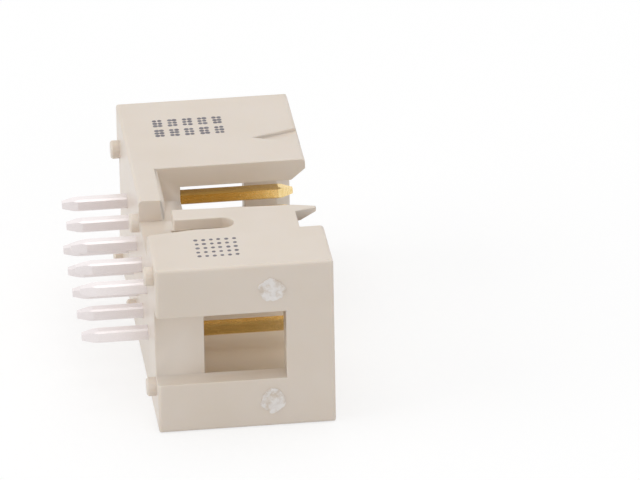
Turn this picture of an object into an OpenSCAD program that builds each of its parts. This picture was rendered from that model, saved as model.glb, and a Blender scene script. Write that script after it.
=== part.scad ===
// Ten-contact box header for a flat-cable socket, with straight through-board tails.
// +X is the mating direction, +Y runs along the rows and +Z points out of the keyed side.
// The origin is on the board's face, in the middle of the contact grid.
// Inside the body's own modules, heights along X are measured from its underside.

/* [Contacts] */
// Distance between neighbouring contacts
pitch = 2.54; // [2.4:0.01:2.7]
// Number of contacts in each of the two rows
columns = 5; // [4:1:8]
// Width of a square contact
pin_w = 0.62; // [0.5:0.01:0.8]
// Chamfer along the four long edges of a contact
pin_chamfer = 0.09; // [0.04:0.01:0.16]
// Length of a solder tail beyond the board's face
tail_len = 2.86; // [1.5:0.01:5]
// Length of the taper at the end of a solder tail
tail_taper = 0.8; // [0.3:0.05:1.2]
// Width left at the end of a solder tail
tail_tip_w = 0.32; // [0.2:0.01:0.4]
// How far the mating tips stay below the mating rim
tip_recess = 0.33; // [0.1:0.01:1.5]
// Length of the taper at a mating tip
mate_taper = 0.75; // [0.3:0.05:1.2]
// Width left at the end of a mating tip
mate_tip_w = 0.26; // [0.2:0.01:0.4]
// Clearance on each side of a contact in its hole
pin_fit = 0.02; // [0.01:0.005:0.05]

/* [Body] */
// Width of the body across its two rows
body_wid = 8.9; // [8.4:0.1:9.6]
// Distance from the end contacts to the end faces
end_margin = 5.05; // [4.4:0.01:6]
// Height of the body from its underside to the mating rim
body_h = 8.84; // [8:0.02:11]
// Thickness of the two long walls
long_wall = 1.15; // [0.9:0.05:1.3]
// Thickness of the two end walls
end_wall = 1.15; // [0.9:0.05:1.4]
// Thickness of the base that holds the contacts
base_t = 2.46; // [2:0.02:3]
// Rounding of the long outer corners
corner_r = 0.2; // [0.05:0.05:0.4]
// Rounding of the outer rims
rim_r = 0.2; // [0.05:0.05:0.3]
// Rounding of the cavity's corners
cavity_r = 0.3; // [0.1:0.05:0.6]
// Height of the lead-in round the cavity's mouth
lead_in_h = 0.72; // [0.3:0.02:1]
// Width of the lead-in round the cavity's mouth
lead_in_w = 0.6; // [0.2:0.02:0.8]

/* [Standoff feet] */
// Height of the feet that hold the base off the board
foot_h = 0.45; // [0.2:0.05:0.8]
// Diameter of a foot
foot_d = 0.95; // [0.7:0.05:1.2]
// Chamfer round the end of a foot
foot_chamfer = 0.08; // [0.03:0.01:0.15]
// Distance from the end faces to the end feet
foot_end_y = 1.4; // [0.9:0.05:1.8]
// Distance from the long sides to the inner end feet
foot_inner_z = 1.95; // [1.6:0.05:2.2]
// Distance from the long sides to the outer end feet
foot_outer_z = 0.9; // [0.8:0.05:1.3]
// Distance from the long sides to the middle feet
foot_middle_z = 1.4; // [1.3:0.05:1.8]

/* [Keying slot] */
// Width of the keying slot in the base
slot_w = 3.8; // [3.4:0.05:4.4]
// Height above the underside at which the slot starts
slot_foot = 1.34; // [1:0.02:1.6]
// Depth of the slot in the base
slot_sink = 1.88; // [1.3:0.02:2]
// Chamfer along the slot's foot
slot_chamfer = 0.2; // [0.05:0.05:0.3]

/* [Tongue] */
// Distance from the side of the slot to the tongue
tongue_gap = 1.2; // [0.8:0.05:1.5]
// Width of the tongue at its free end
tongue_w = 1.25; // [0.9:0.05:1.5]
// Thickness of the tongue
tongue_t = 0.56; // [0.4:0.02:0.8]
// Height of the gap below the tongue's free end
tongue_end_gap = 0.18; // [0.1:0.02:0.6]
// How far the tongue's slot side leans away up to the root's top
tongue_lean = 0.29; // [0:0.01:0.5]
// How much the tongue narrows on its wall side above the root
tongue_neck = 0.16; // [0:0.02:0.3]
// Width of the groove between the tongue and the wall
groove_w = 1.2; // [0.8:0.05:1.4]
// Height above the underside at which the groove ends
groove_top = 4.46; // [3.8:0.02:5.2]
// Depth of the notch at the mating rim above the tongue's root
notch_h = 1.2; // [0.8:0.05:1.8]
// Width of the notch from the tongue's wall side
notch_w = 1.65; // [1:0.05:2]
// How far the tongue's tip stays below the mating rim
tongue_recess = 0.13; // [0.05:0.01:0.4]
// Width of the tongue's tip
tongue_tip_w = 0.2; // [0.1:0.02:0.4]
// Thickness of the tongue's tip
tongue_tip_t = 0.25; // [0.15:0.01:0.35]
// Length of the chamfer under the tongue's tip
tongue_chamfer = 0.75; // [0.4:0.05:1]
// How much the relief below the tongue widens towards the underside
relief_flare = 0.35; // [0:0.05:0.5]

/* [End windows] */
// Width of the window and of the channel below it
window_w = 3.65; // [3:0.05:4.2]
// Height of the window above the base
window_h = 3.96; // [3:0.02:4.8]

/* [First-contact mark] */
// Distance from the middle of the header to the mark
mark_y = 4.9; // [4:0.05:5.5]
// Width of the mark at the mating rim
mark_w = 1.8; // [1:0.05:2.4]
// Length of the mark below the mating rim
mark_len = 2.3; // [1.5:0.05:3]
// Depth of the mark
mark_depth = 0.2; // [0.1:0.01:0.3]

/* [Hidden] */
$fn = 48;
rows = 2;
pin_count = rows * columns;

row_len = (columns - 1) * pitch;
body_len = row_len + 2 * end_margin;
half_len = body_len / 2;
half_wid = body_wid / 2;
wall_in_z = half_wid - long_wall;
wall_in_y = half_len - end_wall;
over = 1;          // how far a cutter runs past the faces that it cuts through

slot_side = -slot_w / 2;
tongue_foot = slot_foot + tongue_end_gap;
tongue_y0 = slot_side - tongue_gap;
tongue_y1 = tongue_y0 - tongue_w;
tongue_under = half_wid - tongue_t;
tongue_tip = body_h - tongue_recess;
tongue_tip_y = (tongue_y0 - tongue_lean + tongue_y1 + tongue_neck) / 2;
root_top = body_h - notch_h;
groove_y = tongue_y1 - groove_w;

pin_top = foot_h + body_h - tip_recess;

// An extrusion along +X: the outline's own x and y lie along Y and Z.
module along_x(length) {
    rotate([90, 0, 90]) linear_extrude(length) children();
}

// An extrusion along Y, even about the middle: the outline's x and y lie along X and Z.
module along_y(length) {
    rotate([90, 0, 0]) linear_extrude(length, center = true) children();
}

module rounded_square(size, r) {
    square([size.x - 2 * r, size.y], center = true);
    square([size.x, size.y - 2 * r], center = true);
    for (sx = [-1, 1], sy = [-1, 1])
        translate([sx * (size.x / 2 - r), sy * (size.y / 2 - r)]) circle(r);
}

// The outline of a square contact with chamfered edges, widened on each side by grow.
module pin_section(grow = 0) {
    h = pin_w / 2 + grow;
    c = h - pin_chamfer;
    polygon([[h, -c], [h, c], [c, h], [-c, h], [-h, c], [-h, -c], [-c, -h], [c, -h]]);
}

// The side view of a contact, with a taper at each end.
module pin_profile() {
    h = pin_w / 2;
    polygon([
        [-tail_len, -tail_tip_w / 2], [-tail_len + tail_taper, -h],
        [pin_top - mate_taper, -h], [pin_top, -mate_tip_w / 2],
        [pin_top, mate_tip_w / 2], [pin_top - mate_taper, h],
        [-tail_len + tail_taper, h], [-tail_len, tail_tip_w / 2]
    ]);
}

// The places of the contacts: odd ones on the keyed side, the first beside the mark.
function pin_y(i) = row_len / 2 - floor(i / rows) * pitch;
function pin_z(i) = (i % rows == 0 ? 1 : -1) * pitch / 2;

module pin(i) {
    color("goldenrod") translate([0, pin_y(i), pin_z(i)]) intersection() {
        translate([-tail_len, 0, 0]) along_x(tail_len + pin_top) pin_section();
        along_y(2 * pin_w) pin_profile();
        linear_extrude(2 * pin_w, center = true) pin_profile();
    }
}

// The outer form, with all its edges rounded.
module block() {
    intersection() {
        along_x(body_h) rounded_square([body_len, body_wid], corner_r);
        translate([body_h / 2, 0, 0]) along_y(body_len) rounded_square([body_h, body_wid], rim_r);
        translate([body_h / 2, 0, 0]) linear_extrude(body_wid, center = true)
            rounded_square([body_h, body_len], rim_r);
    }
}

// One slope of the lead-in as an outline: half the mouth's width against height.
module lead_in_outline(half) {
    polygon([
        [body_h - lead_in_h, -half], [body_h + over, -half - lead_in_w * (1 + over / lead_in_h)],
        [body_h + over, half + lead_in_w * (1 + over / lead_in_h)], [body_h - lead_in_h, half]
    ]);
}

module cavity() {
    translate([base_t, 0, 0]) along_x(body_h) rounded_square([2 * wall_in_y, 2 * wall_in_z], cavity_r);
    intersection() {
        along_y(body_len + over) lead_in_outline(wall_in_z);
        linear_extrude(body_wid + over, center = true) lead_in_outline(wall_in_y);
    }
}

module pin_holes() {
    for (i = [0:pin_count - 1])
        translate([-over, pin_y(i), pin_z(i)]) along_x(base_t + 2 * over) pin_section(pin_fit);
}

// A window in each end wall, and the channel that leads to it from the underside.
module end_windows() {
    for (s = [-1, 1]) {
        translate([base_t, s * half_len - end_wall - over / 2, -window_w / 2])
            cube([window_h, 2 * end_wall + over, window_w]);
        translate([-over, s * (wall_in_y + over) - over, -window_w / 2])
            cube([base_t + window_h + over, 2 * over, window_w]);
    }
}

// The tongue, seen from the keyed side. It joins the wall between the groove and the notch.
module tongue_outline() {
    polygon([
        [tongue_foot, tongue_y0],
        [root_top, tongue_y0 - tongue_lean],
        [tongue_tip, tongue_tip_y + tongue_tip_w / 2],
        [tongue_tip, tongue_tip_y - tongue_tip_w / 2],
        [root_top, tongue_y1 + tongue_neck],
        [root_top, tongue_y1],
        [tongue_foot, tongue_y1]
    ]);
}

// What is open round the tongue, seen from the keyed side.
module opening_outline() {
    difference() {
        union() {
            polygon([
                [base_t, -slot_side], [body_h + over, -slot_side],
                [body_h + over, tongue_y1], [base_t, tongue_y1]
            ]);
            polygon([
                [-over, slot_side], [base_t, slot_side],
                [base_t, groove_y], [-over, groove_y - relief_flare * (1 + over / base_t)]
            ]);
            translate([tongue_foot, groove_y]) square([groove_top - groove_w / 2 - tongue_foot, groove_w]);
            translate([groove_top - groove_w / 2, groove_y + groove_w / 2]) circle(d = groove_w);
            translate([root_top, tongue_y1 - notch_w]) square([notch_h + over, notch_w]);
        }
        tongue_outline();
    }
}

// The keying slot with the tongue beside it.
module keyed_side() {
    translate([0, 0, wall_in_z]) linear_extrude(long_wall + over) opening_outline();
    translate([slot_foot, slot_side, half_wid - slot_sink]) cube([base_t, slot_w, slot_sink + over]);
    slot_foot_chamfers();
    translate([tongue_foot, tongue_y1, wall_in_z - over / 4])
        cube([body_h, tongue_w, tongue_under - wall_in_z + over / 4]);
    translate([0, (tongue_y0 + tongue_y1) / 2, 0]) along_y(tongue_w) polygon([
        [tongue_tip - tongue_chamfer, tongue_under],
        [tongue_tip, half_wid - tongue_tip_t],
        [tongue_tip + over, half_wid - tongue_tip_t],
        [tongue_tip + over, tongue_under - over / 4],
        [tongue_tip - tongue_chamfer, tongue_under - over / 4]
    ]);
}

// The soft edges of the slot's foot: along the outer face, and down the side of the relief.
module slot_foot_chamfers() {
    edge = slot_chamfer + over / 4;
    translate([slot_foot, 0, half_wid]) along_y(slot_w)
        polygon([[-edge, over / 4], [over / 4, -edge], [over / 4, over / 4]]);
    translate([slot_foot, slot_side, wall_in_z]) linear_extrude(long_wall + over)
        polygon([[-edge, -over / 4], [over / 4, edge], [over / 4, -over / 4]]);
}

// The three-cornered recess that marks the first contact.
module first_contact_mark() {
    translate([body_h, mark_y, half_wid - mark_depth]) linear_extrude(over)
        polygon([[-mark_len, 0], [0, -mark_w / 2], [over, -mark_w / 2], [over, mark_w / 2], [0, mark_w / 2]]);
}

// The feet repeat when the header is turned half round about the mating direction.
module feet() {
    places = [
        [half_len - foot_end_y, half_wid - foot_inner_z],
        [foot_end_y - half_len, half_wid - foot_outer_z],
        [slot_side + foot_d / 2, half_wid - foot_middle_z]
    ];
    for (p = places, s = [-1, 1])
        translate([-foot_h, s * p.x, s * p.y]) rotate([0, 90, 0]) {
            cylinder(h = foot_chamfer, d1 = foot_d - 2 * foot_chamfer, d2 = foot_d);
            translate([0, 0, foot_chamfer]) cylinder(h = foot_h, d = foot_d);
        }
}

module shroud() {
    color("antiquewhite") translate([foot_h, 0, 0]) {
        difference() {
            union() {
                block();
                feet();
            }
            cavity();
            pin_holes();
            end_windows();
            keyed_side();
            first_contact_mark();
        }
    }
}

shroud();
for (i = [0:pin_count - 1]) pin(i);
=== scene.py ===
"""A ten-contact box header: moulded shroud, plated contacts and the stage it lies on."""
import math

import bmesh
import bpy
from mathutils import Matrix, Vector


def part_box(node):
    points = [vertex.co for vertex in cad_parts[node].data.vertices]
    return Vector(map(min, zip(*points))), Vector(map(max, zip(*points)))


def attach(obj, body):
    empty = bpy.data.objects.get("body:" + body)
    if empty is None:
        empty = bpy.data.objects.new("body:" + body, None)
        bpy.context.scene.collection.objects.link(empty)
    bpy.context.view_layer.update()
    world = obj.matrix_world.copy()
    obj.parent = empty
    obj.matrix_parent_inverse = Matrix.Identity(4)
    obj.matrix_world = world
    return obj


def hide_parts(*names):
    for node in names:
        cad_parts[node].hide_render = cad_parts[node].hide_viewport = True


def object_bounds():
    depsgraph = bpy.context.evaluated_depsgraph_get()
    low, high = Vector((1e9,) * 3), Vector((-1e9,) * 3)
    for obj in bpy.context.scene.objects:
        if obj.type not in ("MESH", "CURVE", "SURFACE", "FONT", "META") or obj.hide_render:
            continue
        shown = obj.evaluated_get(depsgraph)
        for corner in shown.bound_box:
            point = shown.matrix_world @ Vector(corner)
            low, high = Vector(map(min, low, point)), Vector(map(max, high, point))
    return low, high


bl_info = {
    "name": "Box header looks",
    "version": (1, 0, 0),
    "blender": (4, 5, 0),
    "location": "View3D > Sidebar > Box header",
    "description": "Finishes a moulded box header and its plated contacts on a plain stage",
    "category": "Object",
}

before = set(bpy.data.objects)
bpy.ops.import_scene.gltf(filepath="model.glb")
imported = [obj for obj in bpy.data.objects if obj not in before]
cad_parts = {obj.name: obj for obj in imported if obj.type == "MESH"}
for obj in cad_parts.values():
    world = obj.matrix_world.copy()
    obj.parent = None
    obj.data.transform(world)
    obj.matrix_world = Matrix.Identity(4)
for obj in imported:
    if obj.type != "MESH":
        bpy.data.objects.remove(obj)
CAD_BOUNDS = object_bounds()
SHROUD_LOW, SHROUD_HIGH = (Vector(corner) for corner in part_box("shroud"))
CONTACTS = [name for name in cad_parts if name.startswith("pin_")]

MM = 0.001
ROOT = "root"

# Where the moulding has its small features, in the frame's own places.
FOOT_HEIGHT = 0.45 * MM
UNDERSIDE = SHROUD_LOW.x + FOOT_HEIGHT
TONGUE_UNDER = SHROUD_HIGH.z - 0.56 * MM
RELIEF_SIDE = -1.9 * MM
RELIEF_SIDE_TOP = UNDERSIDE + 1.3 * MM
CORNER_COLUMN = 1.6 * MM
SHORT_ARC = 0.2 * MM
FOOT_RIM = SHROUD_LOW.x + 0.2 * MM
PLACE_ERROR = 0.01 * MM
MERGE_DISTANCE = 0.0005 * MM
FLAT_ANGLE = math.radians(0.3)
SHARP_ANGLE = math.radians(28)

# Heights above the board over which paler gold is painted on towards the contacts' tips as a
# highlight, and the plating's soft edge.
TIP_HIGHLIGHT_HEIGHTS = (5.5 * MM, 9.0 * MM)
PLATING_BLUR = 0.05 * MM

# The scars and the ink stand just clear of the faces they lie on.
SCAR_THICKNESS = 0.1 * MM
SCAR_SINK = 0.042 * MM
SCAR_RIPPLES = 8.0
SCAR_TURN = 0.9
INK_THICKNESS = 0.02 * MM
INK_JITTER = 0.015 * MM
INK_SPREAD = (0.88, 1.08)

# Columns and rows, their steps, the sizes of their groups, and the share of a full dot.
DOT_GRIDS = {
    "contact_map_print": ((14, 7), (0.255 * MM, 0.3 * MM), (3, 4), 1.0),
    "lot_print": ((6, 5), (0.38 * MM, 0.46 * MM), (7, 6), 0.85),
}

# Each lamp's place and width in metres. It shines at the header.
LAMPS = {
    "top_light": ((0.05, 0.05, 0.6), 0.7),
    "side_light": ((-0.6, -0.05, 0.25), 0.5),
    "front_light": ((0.1, -0.7, 0.2), 0.5),
}


# ---------------------------------------------------------------- settings

class StageSettings(bpy.types.PropertyGroup):
    """The camera, the floor and the light."""
    azimuth: bpy.props.FloatProperty(
        name="Azimuth", description="Camera's turn round the header",
        default=math.radians(-6.36), subtype="ANGLE")
    elevation: bpy.props.FloatProperty(
        name="Elevation", description="Camera's height above the horizon",
        default=math.radians(25.34), subtype="ANGLE")
    roll: bpy.props.FloatProperty(
        name="Roll", description="Camera's turn about its own line of sight",
        default=math.radians(-1.04), subtype="ANGLE")
    distance: bpy.props.FloatProperty(
        name="Distance", description="From the camera to the point it looks at",
        default=0.4, unit="LENGTH")
    lens: bpy.props.FloatProperty(
        name="Lens", description="Focal length in millimetres on a 36 mm sensor", default=445.3)
    aim: bpy.props.FloatVectorProperty(
        name="Aim", description="Point that the camera looks at",
        default=(9.76 * MM, 0.0, 0.76 * MM), subtype="TRANSLATION", unit="LENGTH")
    floor_colour: bpy.props.FloatVectorProperty(
        name="Floor", description="Colour of the floor",
        default=(0.82, 0.82, 0.82), subtype="COLOR")
    floor_glow: bpy.props.FloatProperty(
        name="Floor glow", description="Share of the floor's white that shadows don't darken",
        default=0.64)
    floor_lit: bpy.props.FloatProperty(
        name="Floor lit", description="Share of the floor's white that the lamps give",
        default=0.4)
    floor_size: bpy.props.FloatProperty(
        name="Floor size", description="Width of the floor", default=3.0, unit="LENGTH")
    sky: bpy.props.FloatProperty(
        name="Sky", description="Strength of the even light from all round", default=0.53)
    top_light: bpy.props.FloatProperty(
        name="Top light", description="Power of the soft light overhead, in watts", default=1.42)
    side_light: bpy.props.FloatProperty(
        name="Side light", description="Power of the soft light beside the tails, in watts",
        default=1.0)
    front_light: bpy.props.FloatProperty(
        name="Front light", description="Power of the soft light before the near end, in watts",
        default=0.55)


class ShroudSettings(bpy.types.PropertyGroup):
    """The moulded body."""
    colour: bpy.props.FloatVectorProperty(
        name="Colour", description="Colour of the plastic",
        default=(0.775, 0.685, 0.595), subtype="COLOR")
    deep_colour: bpy.props.FloatVectorProperty(
        name="Mottle", description="Colour of the darker clouds in the plastic",
        default=(0.755, 0.66, 0.56), subtype="COLOR")
    edge_round: bpy.props.FloatProperty(
        name="Edge rounding", description="Rounding of the moulded edges",
        default=0.06 * MM, unit="LENGTH")
    roughness: bpy.props.FloatProperty(
        name="Roughness", description="Roughness of the moulded skin",
        default=0.33, subtype="FACTOR")


class ScarSettings(bpy.types.PropertyGroup):
    """The round ejector scars on the end faces."""
    diameter: bpy.props.FloatProperty(
        name="Diameter", description="Diameter of a scar", default=1.3 * MM, unit="LENGTH")
    height: bpy.props.FloatProperty(
        name="Height", description="Height of a scar's middle above the base's underside",
        default=5.72 * MM, unit="LENGTH")
    offset: bpy.props.FloatProperty(
        name="Offset", description="Distance of a scar from the middle plane",
        default=3.05 * MM, unit="LENGTH")
    relief: bpy.props.FloatProperty(
        name="Relief", description="Depth of the torn skin", default=0.06 * MM, unit="LENGTH")
    colour: bpy.props.FloatVectorProperty(
        name="Colour", description="Colour of the torn skin",
        default=(0.87, 0.83, 0.80), subtype="COLOR")
    whole_colour: bpy.props.FloatVectorProperty(
        name="Whole skin", description="Colour of the skin left between the tears",
        default=(0.70, 0.61, 0.52), subtype="COLOR")


class PrintSettings(bpy.types.PropertyGroup):
    """The two plain dot grids that are printed on the keyed side."""
    map_place: bpy.props.FloatVectorProperty(
        name="Map", description="Middle of the larger grid, along X and Y",
        default=(3.85 * MM, 6.7 * MM), size=2, subtype="TRANSLATION", unit="LENGTH")
    lot_place: bpy.props.FloatVectorProperty(
        name="Lot", description="Middle of the smaller grid, along X and Y",
        default=(3.75 * MM, -7.8 * MM), size=2, subtype="TRANSLATION", unit="LENGTH")
    dot: bpy.props.FloatProperty(
        name="Dot", description="Diameter of an ink dot", default=0.24 * MM, unit="LENGTH")
    ink: bpy.props.FloatVectorProperty(
        name="Ink", description="Colour of the ink",
        default=(0.15, 0.135, 0.16), subtype="COLOR")


class ContactSettings(bpy.types.PropertyGroup):
    """The plated contacts."""
    gold: bpy.props.FloatVectorProperty(
        name="Gold", description="Colour of the mating end's plating",
        default=(0.90, 0.64, 0.23), subtype="COLOR")
    tin: bpy.props.FloatVectorProperty(
        name="Tin", description="Colour of the tail's plating",
        default=(0.88, 0.83, 0.83), subtype="COLOR")
    # Paler gold painted towards the contacts' tips: a painted highlight.
    tip_highlight_gold: bpy.props.FloatVectorProperty(
        name="Tip highlight gold", description="Colour of the gold that sockets have rubbed near the tips",
        default=(0.97, 0.77, 0.42), subtype="COLOR")
    plating_edge: bpy.props.FloatProperty(
        name="Plating edge", description="Height above the board where gold gives way to tin",
        default=1.2 * MM, unit="LENGTH")


# ---------------------------------------------------------------- node helpers

def add_node(tree, kind, inputs=None, **settings):
    """A new node with its settings, and with inputs that are values or other nodes' sockets."""
    node = tree.nodes.new(kind)
    for name, value in settings.items():
        setattr(node, name, value)
    for name, value in (inputs or {}).items():
        if isinstance(value, bpy.types.NodeSocket):
            tree.links.new(value, node.inputs[name])
        else:
            node.inputs[name].default_value = value
    return node


def calc(tree, kind, *values):
    """The result of a Math node on two or three values."""
    node = add_node(tree, "ShaderNodeMath", dict(enumerate(values)), operation=kind)
    return node.outputs["Value"]


def new_material(name):
    """An empty node material, its tree and its output node."""
    material = bpy.data.materials.new(name)
    material.use_nodes = True
    tree = material.node_tree
    tree.nodes.clear()
    return material, tree, add_node(tree, "ShaderNodeOutputMaterial")


def object_coordinates(tree, scale=(1.0, 1.0, 1.0)):
    """Object coordinates in millimetres, stretched by scale."""
    place = add_node(tree, "ShaderNodeTexCoord")
    scaled = add_node(tree, "ShaderNodeMapping", {
        "Vector": place.outputs["Object"],
        "Scale": tuple(s / MM for s in scale),
    })
    return scaled.outputs["Vector"]


def noise(tree, vector, scale, detail=3.0, roughness=0.5):
    """Soft noise with scale features to the millimetre."""
    return add_node(tree, "ShaderNodeTexNoise", {
        "Vector": vector, "Scale": scale, "Detail": detail, "Roughness": roughness,
    }).outputs["Fac"]


def remap(tree, value, low, high, to_low=0.0, to_high=1.0):
    """value from low..high to to_low..to_high, clamped."""
    return add_node(tree, "ShaderNodeMapRange", {
        "Value": value, "From Min": low, "From Max": high, "To Min": to_low, "To Max": to_high,
    }).outputs["Result"]


def blend_colours(tree, factor, first, second):
    """The mix of two colours."""
    mix = add_node(tree, "ShaderNodeMix", data_type="RGBA")
    tree.links.new(factor, mix.inputs["Factor"])
    for socket, value in ((mix.inputs["A"], first), (mix.inputs["B"], second)):
        if isinstance(value, bpy.types.NodeSocket):
            tree.links.new(value, socket)
        else:
            socket.default_value = (*value, 1.0)
    return mix.outputs["Result"]


# ---------------------------------------------------------------- materials

def moulded_plastic(settings):
    """Beige moulded plastic: faint clouds, a fine eroded skin and soft edges."""
    material, tree, output = new_material("moulded_plastic")
    vector = object_coordinates(tree)
    clouds = remap(tree, noise(tree, vector, scale=0.35, detail=2.0), 0.35, 0.7)
    colour = blend_colours(tree, clouds, settings.colour, settings.deep_colour)
    grain = noise(tree, vector, scale=11.0, detail=4.0, roughness=0.6)
    bump = add_node(tree, "ShaderNodeBump", {
        "Strength": 0.12, "Distance": 0.02 * MM, "Height": grain,
    })
    skin = add_node(tree, "ShaderNodeBsdfPrincipled", {
        "Base Color": colour, "Normal": bump.outputs["Normal"],
        "Roughness": settings.roughness, "Specular IOR Level": 0.8, "Subsurface Weight": 0.12,
        "Subsurface Radius": (1.0, 0.7, 0.4), "Subsurface Scale": 0.4 * MM,
    })
    tree.links.new(skin.outputs["BSDF"], output.inputs["Surface"])
    return material


def plated_contact(settings):
    """Drawn square wire, gold on the mating end and dull tin on the tail, with paler gold painted
    towards the tips as a highlight.
    """
    material, tree, output = new_material("plated_contact")
    along = object_coordinates(tree, (0.12, 1.0, 1.0))
    streaks = noise(tree, along, scale=9.0, detail=4.0, roughness=0.65)
    pits = object_coordinates(tree, (0.6, 1.0, 1.0))
    fine = noise(tree, pits, scale=22.0, detail=3.0, roughness=0.6)
    place = add_node(tree, "ShaderNodeTexCoord").outputs["Object"]
    height = add_node(tree, "ShaderNodeSeparateXYZ", {"Vector": place}).outputs["X"]
    edge = settings.plating_edge
    on_gold = remap(tree, height, edge - PLATING_BLUR, edge + PLATING_BLUR)
    # Ramp towards the tips: it places the painted highlight, and there it swaps the bump to
    # scratches.
    tip_highlight_ramp = remap(tree, height, *TIP_HIGHLIGHT_HEIGHTS)
    across = object_coordinates(tree, (1.0, 0.35, 0.35))
    scratches = noise(tree, across, scale=14.0, detail=3.0, roughness=0.6)
    drawn = blend_colours(
        tree, remap(tree, streaks, 0.3, 0.7), settings.gold, [c * 0.78 for c in settings.gold])
    # Painted highlight: paler gold towards the tips, broken up by noise.
    painted_tip_highlight = calc(tree, "MULTIPLY", tip_highlight_ramp, remap(tree, scratches, 0.35, 0.6, to_low=0.35))
    gold_colour = blend_colours(tree, painted_tip_highlight, drawn, settings.tip_highlight_gold)
    gold_relief = add_node(tree, "ShaderNodeMix", {"Factor": tip_highlight_ramp, "A": streaks, "B": scratches})
    gold_bump = add_node(tree, "ShaderNodeBump", {
        "Strength": 0.5, "Distance": 0.014 * MM, "Height": gold_relief.outputs["Result"],
    })
    gold = add_node(tree, "ShaderNodeBsdfPrincipled", {
        "Base Color": gold_colour, "Metallic": 1.0, "Normal": gold_bump.outputs["Normal"],
        "Roughness": remap(tree, fine, 0.3, 0.7, to_low=0.16, to_high=0.3),
    })
    tin_colour = blend_colours(
        tree, remap(tree, fine, 0.3, 0.7), settings.tin, [c * 0.95 for c in settings.tin])
    tin_bump = add_node(tree, "ShaderNodeBump", {
        "Strength": 0.12, "Distance": 0.01 * MM, "Height": fine,
    })
    tin = add_node(tree, "ShaderNodeBsdfPrincipled", {
        "Base Color": tin_colour, "Metallic": 0.85, "Normal": tin_bump.outputs["Normal"],
        "Roughness": remap(tree, streaks, 0.3, 0.7, to_low=0.42, to_high=0.56),
    })
    plating = add_node(tree, "ShaderNodeMixShader", {"Fac": on_gold})
    tree.links.new(tin.outputs["BSDF"], plating.inputs[1])
    tree.links.new(gold.outputs["BSDF"], plating.inputs[2])
    tree.links.new(plating.outputs["Shader"], output.inputs["Surface"])
    return material


def torn_skin(settings):
    """Pale, rough plastic where an ejector left the mould."""
    material, tree, output = new_material("torn_skin")
    rough = noise(tree, object_coordinates(tree), scale=2.6, detail=4.0, roughness=0.6)
    torn = remap(tree, rough, 0.36, 0.56)
    colour = blend_colours(tree, torn, settings.whole_colour, settings.colour)
    bump = add_node(tree, "ShaderNodeBump", {
        "Strength": 0.6, "Distance": 0.06 * MM, "Height": rough,
    })
    skin = add_node(tree, "ShaderNodeBsdfPrincipled", {
        "Base Color": colour, "Normal": bump.outputs["Normal"], "Roughness": 0.6,
    })
    tree.links.new(skin.outputs["BSDF"], output.inputs["Surface"])
    return material


def jetted_ink(settings):
    """Matt grey-black ink, uneven from dot to dot."""
    material, tree, output = new_material("jetted_ink")
    uneven = noise(tree, object_coordinates(tree), scale=2.5, detail=2.0)
    thin_ink = [0.6 * c + 0.14 for c in settings.ink]
    colour = blend_colours(tree, remap(tree, uneven, 0.3, 0.7), settings.ink, thin_ink)
    ink = add_node(tree, "ShaderNodeBsdfPrincipled", {"Base Color": colour, "Roughness": 0.55})
    tree.links.new(ink.outputs["BSDF"], output.inputs["Surface"])
    return material


def seen_directly(tree):
    """1 for rays that the eye, a gloss or a glass sends, and 0 for those that only light things."""
    path = add_node(tree, "ShaderNodeLightPath")
    total = path.outputs["Is Camera Ray"]
    for name in ("Is Glossy Ray", "Is Transmission Ray"):
        total = calc(tree, "MAXIMUM", total, path.outputs[name])
    return total


def pale_floor(settings):
    """A floor that looks white and still takes the header's shadow."""
    material, tree, output = new_material("pale_floor")
    lit = add_node(tree, "ShaderNodeBsdfDiffuse", {"Color": (*settings.floor_colour, 1.0)})
    grey = [settings.floor_lit] * 3
    shown = add_node(tree, "ShaderNodeBsdfDiffuse", {"Color": (*grey, 1.0)})
    glow = add_node(tree, "ShaderNodeEmission", {"Strength": settings.floor_glow})
    white = add_node(tree, "ShaderNodeAddShader", {
        0: shown.outputs["BSDF"], 1: glow.outputs["Emission"],
    })
    choice = add_node(tree, "ShaderNodeMixShader", {"Fac": seen_directly(tree)})
    tree.links.new(lit.outputs["BSDF"], choice.inputs[1])
    tree.links.new(white.outputs["Shader"], choice.inputs[2])
    tree.links.new(choice.outputs["Shader"], output.inputs["Surface"])
    return material


# ---------------------------------------------------------------- pieces

def finish_piece(obj, material):
    """Gives a new piece its material and its body."""
    obj.data.materials.clear()
    obj.data.materials.append(material)
    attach(obj, ROOT)


def link_mesh(name, mesh):
    """A new object in the scene for mesh."""
    obj = bpy.data.objects.new(name, mesh)
    bpy.context.scene.collection.objects.link(obj)
    return obj


def bake_modifiers(obj):
    """Turns an object's modifiers into its plain mesh."""
    finished = obj.evaluated_get(bpy.context.evaluated_depsgraph_get())
    shape = bpy.data.meshes.new_from_object(finished)
    obj.modifiers.clear()
    obj.data = shape
    return obj


def new_geometry_tree(name, inputs):
    """A Geometry Nodes tree, its inputs and its end, from {socket type: input names}."""
    tree = bpy.data.node_groups.new(name, "GeometryNodeTree")
    for kind, keys in inputs.items():
        for key in keys:
            tree.interface.new_socket(key, in_out="INPUT", socket_type=kind)
    tree.interface.new_socket("Geometry", in_out="OUTPUT", socket_type="NodeSocketGeometry")
    return tree, add_node(tree, "NodeGroupInput").outputs, add_node(tree, "NodeGroupOutput")


def dress(tree, geometry, material, result):
    """Ends a tree: makes its instances real and gives them their material."""
    real = add_node(tree, "GeometryNodeRealizeInstances", {"Geometry": geometry})
    dressed = add_node(tree, "GeometryNodeSetMaterial", {
        "Geometry": real.outputs["Geometry"], "Material": material})
    tree.links.new(dressed.outputs["Geometry"], result.inputs["Geometry"])


def grow(name, tree, values):
    """A plain mesh object from a Geometry Nodes tree, with inputs set by socket identifier."""
    obj = link_mesh(name, bpy.data.meshes.new(name))
    growth = obj.modifiers.new(tree.name, "NODES")
    growth.node_group = tree
    for item in tree.interface.items_tree:
        if item.item_type == "SOCKET" and item.in_out == "INPUT" and item.name in values:
            growth[item.identifier] = values[item.name]
    return bake_modifiers(obj)


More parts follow.
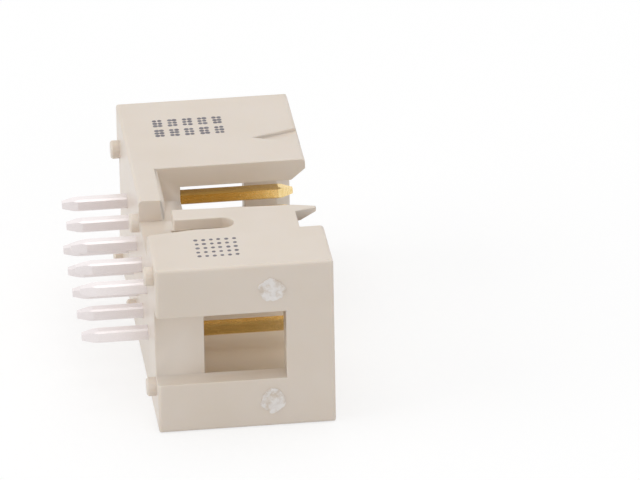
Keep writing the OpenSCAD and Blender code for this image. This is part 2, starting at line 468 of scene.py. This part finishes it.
class HEADER_OT_stage(bpy.types.Operator):
    """Sets up the camera, the floor and the soft light"""
    bl_idname = "header.stage"
    bl_label = "Stage"

    def execute(self, context):
        settings = context.scene.header_stage
        scene = context.scene
        scene.view_settings.view_transform = "Standard"
        self.add_camera(scene, settings)
        self.add_floor(settings)
        for name, (place, size) in LAMPS.items():
            self.add_lamp(name, place, size, getattr(settings, name))
        self.add_sky(scene, settings)
        return {"FINISHED"}

    def add_camera(self, scene, settings):
        """Sets the camera on its line of sight, at its distance from the aim."""
        camera = bpy.data.objects.new("camera", bpy.data.cameras.new("camera"))
        scene.collection.objects.link(camera)
        camera.data.lens = settings.lens
        camera.data.sensor_width = 36.0
        camera.data.clip_start = 0.01
        turn = (Matrix.Rotation(settings.azimuth, 3, "Z")
                @ Matrix.Rotation(math.pi / 2 - settings.elevation, 3, "X")
                @ Matrix.Rotation(settings.roll, 3, "Z"))
        back = turn @ Vector((0.0, 0.0, 1.0))
        place = Vector(settings.aim) + back * settings.distance
        camera.matrix_world = Matrix.Translation(place) @ turn.to_4x4()
        scene.camera = camera

    def add_floor(self, settings):
        """Lays the floor under the header."""
        mesh = bpy.data.meshes.new("floor")
        half = settings.floor_size / 2
        height = CAD_BOUNDS[0][2]
        corners = [(x * half, y * half, height) for x, y in ((-1, -1), (1, -1), (1, 1), (-1, 1))]
        mesh.from_pydata(corners, [], [(0, 1, 2, 3)])
        floor = link_mesh("floor", mesh)
        floor.data.materials.append(pale_floor(settings))

    def add_lamp(self, name, place, size, power):
        """Hangs a square lamp that shines at the origin."""
        lamp = bpy.data.lights.new(name, "AREA")
        lamp.size = size
        lamp.energy = power
        obj = bpy.data.objects.new(name, lamp)
        bpy.context.scene.collection.objects.link(obj)
        obj.location = place
        obj.rotation_euler = Vector(place).to_track_quat("Z", "Y").to_euler()

    def add_sky(self, scene, settings):
        """Lights the header evenly from all round, before a white background."""
        world = bpy.data.worlds.new("sky")
        world.use_nodes = True
        scene.world = world
        tree = world.node_tree
        tree.nodes.clear()
        lighting = add_node(tree, "ShaderNodeBackground", {"Strength": settings.sky})
        seen = add_node(tree, "ShaderNodeBackground", {"Strength": 1.0})
        for background in (lighting, seen):
            background.inputs["Color"].default_value = (1.0, 1.0, 1.0, 1.0)
        choice = add_node(tree, "ShaderNodeMixShader", {"Fac": seen_directly(tree)})
        tree.links.new(lighting.outputs["Background"], choice.inputs[1])
        tree.links.new(seen.outputs["Background"], choice.inputs[2])
        output = add_node(tree, "ShaderNodeOutputWorld")
        tree.links.new(choice.outputs["Shader"], output.inputs["Surface"])


class HEADER_OT_shroud(bpy.types.Operator):
    """Gives the moulded shroud its soft edges and its plastic"""
    bl_idname = "header.shroud"
    bl_label = "Shroud"

    def execute(self, context):
        settings = context.scene.header_shroud
        shell = link_mesh("shroud_moulding", self.marked_copy(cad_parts["shroud"].data))
        bevel = shell.modifiers.new("soft_edges", "BEVEL")
        bevel.width = settings.edge_round
        bevel.segments = 2
        bevel.limit_method = "WEIGHT"
        bevel.use_clamp_overlap = False
        shading = shell.modifiers.new("flat_faces", "WEIGHTED_NORMAL")
        shading.mode = "FACE_AREA"
        shading.weight = 90
        shading.keep_sharp = True
        bake_modifiers(shell)
        finish_piece(shell, moulded_plastic(settings))
        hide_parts("shroud")
        return {"FINISHED"}

    def marked_copy(self, source):
        """The CAD mesh with whole faces, its corners marked for the bevel or as sharp."""
        work = bmesh.new()
        work.from_mesh(source)
        bmesh.ops.remove_doubles(work, verts=work.verts, dist=MERGE_DISTANCE)
        bmesh.ops.dissolve_limit(
            work, angle_limit=FLAT_ANGLE, verts=work.verts, edges=work.edges)
        for face in work.faces:
            face.smooth = True
        weight = work.edges.layers.float.new("bevel_weight_edge")
        for edge in work.edges:
            if edge.is_manifold and edge.calc_face_angle() > SHARP_ANGLE:
                edge.smooth = edge.is_convex and self.takes_bevel(edge)
                edge[weight] = float(edge.smooth)
        mesh = bpy.data.meshes.new("shroud_moulding")
        work.to_mesh(mesh)
        work.free()
        return mesh

    def takes_bevel(self, edge):
        """False at the feet, under the tongue and on the short arcs in the four corners."""
        middle = (edge.verts[0].co + edge.verts[1].co) / 2
        under_tongue = abs(middle.z - TONGUE_UNDER) < PLACE_ERROR
        beside_foot = abs(middle.y - RELIEF_SIDE) < PLACE_ERROR and middle.x < RELIEF_SIDE_TOP
        if under_tongue or beside_foot or middle.x < FOOT_RIM:
            return False
        in_corner = all(
            min(middle[i] - SHROUD_LOW[i], SHROUD_HIGH[i] - middle[i]) < CORNER_COLUMN
            for i in (1, 2))
        return not in_corner or edge.calc_length() > SHORT_ARC


class HEADER_OT_scars(bpy.types.Operator):
    """Adds the four round ejector scars to the end faces"""
    bl_idname = "header.scars"
    bl_label = "Ejector scars"

    def execute(self, context):
        settings = context.scene.header_scar
        material = torn_skin(settings)
        scars = grow("ejector_scars", self.scar_tree(), {
            "Radius": settings.diameter / 2,
            "Relief": settings.relief,
            "Height": UNDERSIDE + settings.height,
            "Offset": settings.offset,
            "Face": SHROUD_HIGH.y,
            "Material": material,
        })
        finish_piece(scars, material)
        return {"FINISHED"}

    def scar_tree(self):
        """A low disc with a torn face and outline, on each of four points of the end walls."""
        tree, given, result = new_geometry_tree("ejector_scar_tree", {
            "NodeSocketFloat": ("Radius", "Relief", "Height", "Offset", "Face"),
            "NodeSocketMaterial": ("Material",),
        })
        disc = add_node(tree, "GeometryNodeMeshCylinder", {
            "Vertices": 40, "Fill Segments": 7, "Radius": given["Radius"], "Depth": SCAR_THICKNESS,
        }, fill_type="TRIANGLE_FAN")
        place = add_node(tree, "GeometryNodeInputPosition").outputs["Position"]
        x, y, z = add_node(tree, "ShaderNodeSeparateXYZ", {"Vector": place}).outputs
        flat = add_node(tree, "ShaderNodeCombineXYZ", {"X": x, "Y": y}).outputs["Vector"]
        radial = add_node(tree, "ShaderNodeVectorMath", {0: flat}, operation="LENGTH")
        share = calc(tree, "DIVIDE", radial.outputs["Value"], given["Radius"])
        waves = calc(tree, "SINE", calc(tree, "MULTIPLY", share, SCAR_RIPPLES))
        torn = self.tears(tree, place, scale=2.2, detail=2.0)
        lift = calc(tree, "MULTIPLY", calc(tree, "MULTIPLY_ADD", waves, 0.3, torn), given["Relief"])
        outline = self.tears(tree, flat, scale=2.4, detail=1.0)
        spread = calc(tree, "MULTIPLY_ADD", outline, 0.7, -0.38)
        uneven = add_node(tree, "GeometryNodeSetPosition", {
            "Geometry": disc.outputs["Mesh"],
            "Offset": add_node(tree, "ShaderNodeCombineXYZ", {
                "X": calc(tree, "MULTIPLY", x, spread), "Y": calc(tree, "MULTIPLY", y, spread),
            }).outputs["Vector"],
        })
        raised = add_node(tree, "GeometryNodeSetPosition", {
            "Geometry": uneven.outputs["Geometry"], "Selection": calc(tree, "GREATER_THAN", z, 0.0),
            "Offset": add_node(tree, "ShaderNodeCombineXYZ", {
                "Z": calc(tree, "SUBTRACT", lift, SCAR_SINK)}).outputs["Vector"],
        })
        joined = add_node(tree, "GeometryNodeJoinGeometry")
        for side in (-1.0, 1.0):
            for row in (-1.0, 1.0):
                spot = add_node(tree, "ShaderNodeCombineXYZ", {
                    "X": given["Height"], "Y": calc(tree, "MULTIPLY", given["Face"], side),
                    "Z": calc(tree, "MULTIPLY", given["Offset"], row)})
                point = add_node(tree, "GeometryNodePoints", {"Position": spot.outputs["Vector"]})
                scar = add_node(tree, "GeometryNodeInstanceOnPoints", {
                    "Points": point.outputs["Points"], "Instance": raised.outputs["Geometry"],
                    "Rotation": (-side * math.pi / 2, row * SCAR_TURN + side, 0.0),
                })
                tree.links.new(scar.outputs["Instances"], joined.inputs["Geometry"])
        dress(tree, joined.outputs["Geometry"], given["Material"], result)
        return tree

    def tears(self, tree, place, scale, detail):
        """Noise for the torn skin, with scale features to the millimetre."""
        return noise(tree, place, scale / MM, detail)


class HEADER_OT_print(bpy.types.Operator):
    """Prints a plain ten-place contact map and a small lot grid in ink dots on the keyed side"""
    bl_idname = "header.print"
    bl_label = "Ink dots"

    def execute(self, context):
        settings = context.scene.header_print
        material = jetted_ink(settings)
        tree = self.dot_tree()
        places = (settings.map_place, settings.lot_place)
        for seed, ((name, layout), place) in enumerate(zip(DOT_GRIDS.items(), places)):
            counts, steps, gaps, size = layout
            grid = grow(name, tree, {
                "Columns": counts[0], "Rows": counts[1],
                "Column step": steps[0], "Row step": steps[1],
                "Column gap": gaps[0], "Row gap": gaps[1],
                "Middle": (place[0], place[1], SHROUD_HIGH.z), "Dot": settings.dot * size,
                "Seed": seed + 3, "Material": material,
            })
            finish_piece(grid, material)
        return {"FINISHED"}

    def dot_tree(self):
        """Flat round dots on a grid. The last column and the last row of each group stay bare."""
        tree, given, result = new_geometry_tree("ink_dot_tree", {
            "NodeSocketInt": ("Columns", "Rows", "Column gap", "Row gap", "Seed"),
            "NodeSocketFloat": ("Column step", "Row step", "Dot"),
            "NodeSocketVector": ("Middle",),
            "NodeSocketMaterial": ("Material",),
        })
        size_x, size_y = (
            calc(tree, "MULTIPLY", calc(tree, "SUBTRACT", given[f"{way}s"], 1.0),
                 given[f"{way} step"])
            for way in ("Column", "Row"))
        grid = add_node(tree, "GeometryNodeMeshGrid", {
            "Size X": size_x, "Size Y": size_y,
            "Vertices X": given["Columns"], "Vertices Y": given["Rows"],
        })
        number = add_node(tree, "GeometryNodeInputIndex").outputs["Index"]
        row = calc(tree, "MODULO", number, given["Rows"])
        column = calc(tree, "FLOOR", calc(tree, "DIVIDE", number, given["Rows"]))
        skipped = calc(tree, "MAXIMUM", *(
            calc(tree, "COMPARE", calc(tree, "MODULO", place, given[gap]),
                 calc(tree, "SUBTRACT", given[gap], 1.0))
            for place, gap in ((column, "Column gap"), (row, "Row gap"))))
        kept = add_node(tree, "GeometryNodeDeleteGeometry", {
            "Geometry": grid.outputs["Mesh"], "Selection": skipped}, domain="POINT")
        points = add_node(tree, "GeometryNodeMeshToPoints", {"Mesh": kept.outputs["Geometry"]})
        jitter = add_node(tree, "FunctionNodeRandomValue", {
            "Min": (-INK_JITTER, -INK_JITTER, 0.0), "Max": (INK_JITTER, INK_JITTER, 0.0),
            "Seed": given["Seed"]}, data_type="FLOAT_VECTOR")
        moved = add_node(tree, "GeometryNodeSetPosition", {
            "Geometry": points.outputs["Points"],
            "Offset": add_node(tree, "ShaderNodeVectorMath", {
                0: given["Middle"], 1: jitter.outputs["Value"]}, operation="ADD").outputs["Vector"],
        })
        drop = add_node(tree, "GeometryNodeMeshCylinder", {
            "Vertices": 14, "Radius": calc(tree, "MULTIPLY", given["Dot"], 0.5),
            "Depth": INK_THICKNESS,
        })
        size = add_node(tree, "FunctionNodeRandomValue", {
            "Min": INK_SPREAD[0], "Max": INK_SPREAD[1], "Seed": given["Seed"],
        }, data_type="FLOAT")
        dots = add_node(tree, "GeometryNodeInstanceOnPoints", {
            "Points": moved.outputs["Geometry"], "Instance": drop.outputs["Mesh"],
            "Scale": add_node(tree, "ShaderNodeCombineXYZ", {
                "X": size.outputs["Value"], "Y": size.outputs["Value"], "Z": 1.0,
            }).outputs["Vector"],
        })
        dress(tree, dots.outputs["Instances"], given["Material"], result)
        return tree


class HEADER_OT_contacts(bpy.types.Operator):
    """Gives every contact its gold and tin plating"""
    bl_idname = "header.contacts"
    bl_label = "Contacts"

    def execute(self, context):
        plating = plated_contact(context.scene.header_contact)
        for name in CONTACTS:
            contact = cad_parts[name]
            for slot in contact.material_slots:
                slot.material = plating
        return {"FINISHED"}


class HEADER_PT_panel(bpy.types.Panel):
    """Lists the header's pieces"""
    bl_idname = "HEADER_PT_panel"
    bl_label = "Box header"
    bl_space_type = "VIEW_3D"
    bl_region_type = "UI"
    bl_category = "Box header"

    def draw(self, context):
        for operator in OPERATORS:
            self.layout.operator(operator.bl_idname)
        for name in SETTINGS:
            group = getattr(context.scene, name)
            box = self.layout.box()
            for key in group.bl_rna.properties.keys():
                if key not in {"rna_type", "name"}:
                    box.prop(group, key)


OPERATORS = [
    HEADER_OT_stage, HEADER_OT_shroud, HEADER_OT_scars, HEADER_OT_print, HEADER_OT_contacts,
]
SETTINGS = {
    "header_stage": StageSettings,
    "header_shroud": ShroudSettings,
    "header_scar": ScarSettings,
    "header_print": PrintSettings,
    "header_contact": ContactSettings,
}


def register():
    """Registers the settings, the operators and the panel."""
    for kind in [*SETTINGS.values(), *OPERATORS, HEADER_PT_panel]:
        bpy.utils.register_class(kind)
    for name, kind in SETTINGS.items():
        setattr(bpy.types.Scene, name, bpy.props.PointerProperty(type=kind))


def unregister():
    """Takes them out again."""
    for name in SETTINGS:
        delattr(bpy.types.Scene, name)
    for kind in reversed([*SETTINGS.values(), *OPERATORS, HEADER_PT_panel]):
        bpy.utils.unregister_class(kind)


def main():
    """Makes the header from its frame."""
    register()
    bpy.ops.header.stage()
    bpy.ops.header.shroud()
    bpy.ops.header.scars()
    bpy.ops.header.print()
    bpy.ops.header.contacts()


if __name__ == "__main__":
    main()
